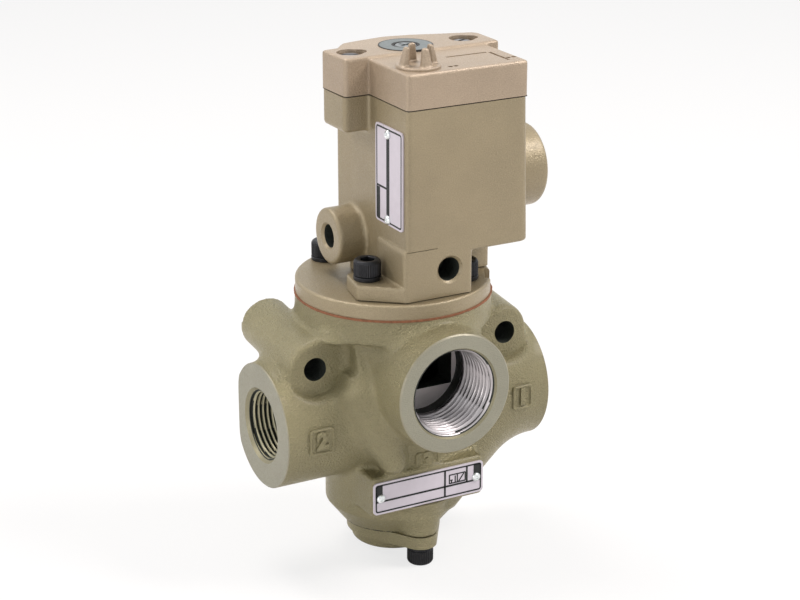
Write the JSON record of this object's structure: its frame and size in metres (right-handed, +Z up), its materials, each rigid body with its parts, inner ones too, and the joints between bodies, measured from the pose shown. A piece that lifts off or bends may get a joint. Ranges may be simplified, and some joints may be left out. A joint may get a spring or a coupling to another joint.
{
  "type": "air pilot valve",
  "caption": "Poppet valve with a cast body, two side ports, a front port and a solenoid pilot housing with a manual override on top.",
  "frame": {"origin": "midway between the two mounting holes, on the back ends of their lugs", "axes": "+Z up along the stem, +Y towards the mounting side, +X towards the right side port"},
  "size_m": [0.1098, 0.0839, 0.1995],
  "materials": {
    "cast_paint": "gold-beige metallic paint over a sand casting",
    "housing_paint": "gold-beige metallic paint over a smooth die casting",
    "bare_aluminium": "machined",
    "bright_steel": "turned",
    "spring_steel": "drawn wire",
    "black_steel": "black oxide",
    "brass_parts": "turned",
    "seal_rubber": "moulded nitrile",
    "gasket_fibre": "cut fibre sheet",
    "gasket_black": "cut sheet",
    "grey_plastic": "moulded",
    "coil_resin": "moulded",
    "plate_face": "printed foil",
    "rivet_metal": "bright"
  },
  "bodies": {
    "valve": {"valve_body": "cast_paint", "bottom_cap": "cast_paint", "bottom_cap_seal": "seal_rubber", "bottom_cap_screws": "black_steel", "bottom_cap_washers": "black_steel", "cover_screws": "black_steel", "cover_washers": "black_steel", "body_gasket": "gasket_fibre", "cover_disc": "housing_paint", "stem_bush": "brass_parts", "return_spring": "spring_steel", "pilot_housing": "housing_paint", "pilot_gasket": "gasket_black", "lid_gasket": "gasket_black", "pilot_lid": "housing_paint", "lid_screws": "bright_steel", "override_bezel": "grey_plastic", "override_seal": "seal_rubber", "override_spring": "spring_steel", "coil": "coil_resin", "coil_yoke": "bright_steel", "core_tube": "bright_steel", "fixed_core": "bright_steel", "armature_spring": "spring_steel", "pilot_seat": "brass_parts", "terminal_block": "coil_resin", "nameplate": "plate_face", "nameplate_rivets": "rivet_metal", "coil_label": "plate_face", "coil_label_rivets": "rivet_metal"},
    "main_valve": {"piston": "bare_aluminium", "piston_seal": "seal_rubber", "stem_nut": "bright_steel", "valve_stem": "bright_steel", "exhaust_poppet": "bare_aluminium", "exhaust_poppet_seal": "seal_rubber", "inlet_poppet": "bare_aluminium", "inlet_poppet_seal": "seal_rubber"},
    "override": {"override_button": "bright_steel"},
    "armature": {"armature": "bright_steel", "push_pin": "bright_steel"}
  },
  "joints": [
    {"name": "main_stroke", "type": "slide", "parent": "valve", "child": "main_valve", "axis": [0, 0, -1], "range_m": [0, 0.0044], "stiffness_N_per_m": 3000, "springref_m": -0.006, "deforming": ["return_spring"]},
    {"name": "override_press", "type": "slide", "parent": "valve", "child": "override", "axis": [0, 0, -1], "range_m": [0, 0.002], "stiffness_N_per_m": 1500, "springref_m": -0.002, "deforming": ["override_spring"]},
    {"name": "armature_stroke", "type": "slide", "parent": "valve", "child": "armature", "axis": [0, 0, -1], "range_m": [0, 0.0017], "stiffness_N_per_m": 800, "springref_m": -0.002, "deforming": ["armature_spring"]}
  ],
  "couplings": [
    {"joint": "armature_stroke", "follows": "override_press", "ratio": 0.85}
  ]
}
